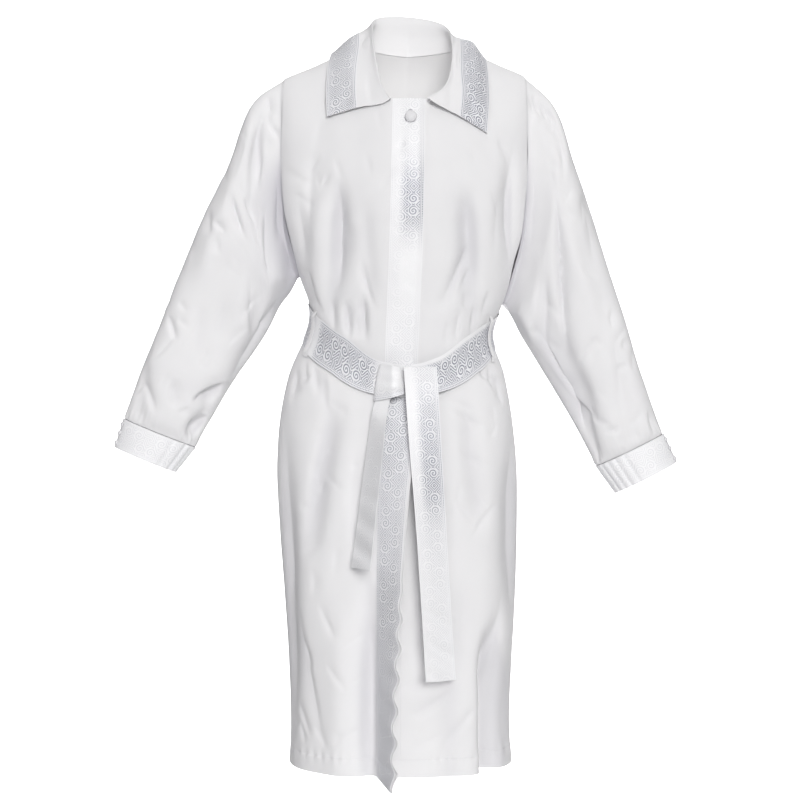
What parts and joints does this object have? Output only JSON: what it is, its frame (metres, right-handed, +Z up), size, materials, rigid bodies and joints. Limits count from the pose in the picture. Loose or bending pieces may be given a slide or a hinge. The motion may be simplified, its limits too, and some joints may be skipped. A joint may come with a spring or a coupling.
{
  "type": "kittel",
  "caption": "White ritual robe for a standing wearer, open at neck, hem and cuffs, with a spread collar, ribbon placket and cuffs, and a ribbon belt tied in front",
  "frame": {"origin": "centre of the neck base, between the shoulder seams, where the wearer's neck and shoulders carry the garment", "axes": "+Z up towards the collar, -Y out of the front, +X towards the wearer's left"},
  "size_m": [0.8918, 0.2908, 1.2111],
  "materials": {
    "front_over": "matt plain weave",
    "front_under": "matt plain weave",
    "back": "matt plain weave",
    "back_neck_facing": "matt plain weave",
    "sleeve_r": "matt plain weave",
    "sleeve_l": "matt plain weave",
    "cuff_r": "satin jacquard ribbon",
    "cuff_l": "satin jacquard ribbon",
    "collar": "matt plain weave",
    "collar_ribbon": "satin jacquard ribbon",
    "placket_ribbon": "satin jacquard ribbon",
    "belt": "satin jacquard ribbon",
    "belt_knot": "satin jacquard ribbon",
    "belt_tail_long": "satin jacquard ribbon",
    "belt_tail_short": "satin jacquard ribbon",
    "belt_loop_r": "matt plain weave",
    "belt_loop_l": "matt plain weave",
    "button_neck": "cloth-covered button",
    "cuff_button_r_1": "cloth-covered button",
    "cuff_button_r_2": "cloth-covered button",
    "cuff_button_r_3": "cloth-covered button",
    "cuff_button_l_1": "cloth-covered button",
    "cuff_button_l_2": "cloth-covered button",
    "cuff_button_l_3": "cloth-covered button"
  },
  "bodies": {
    "root": {"front_over": "front_over", "front_under": "front_under", "back": "back", "back_neck_facing": "back_neck_facing", "sleeve_r": "sleeve_r", "sleeve_l": "sleeve_l", "cuff_r": "cuff_r", "cuff_l": "cuff_l", "collar": "collar", "collar_ribbon": "collar_ribbon", "placket_ribbon": "placket_ribbon", "belt": "belt", "belt_knot": "belt_knot", "belt_tail_long": "belt_tail_long", "belt_tail_short": "belt_tail_short", "belt_loop_r": "belt_loop_r", "belt_loop_l": "belt_loop_l", "button_neck": "button_neck", "cuff_button_r_1": "cuff_button_r_1", "cuff_button_r_2": "cuff_button_r_2", "cuff_button_r_3": "cuff_button_r_3", "cuff_button_l_1": "cuff_button_l_1", "cuff_button_l_2": "cuff_button_l_2", "cuff_button_l_3": "cuff_button_l_3"}
  },
  "joints": []
}
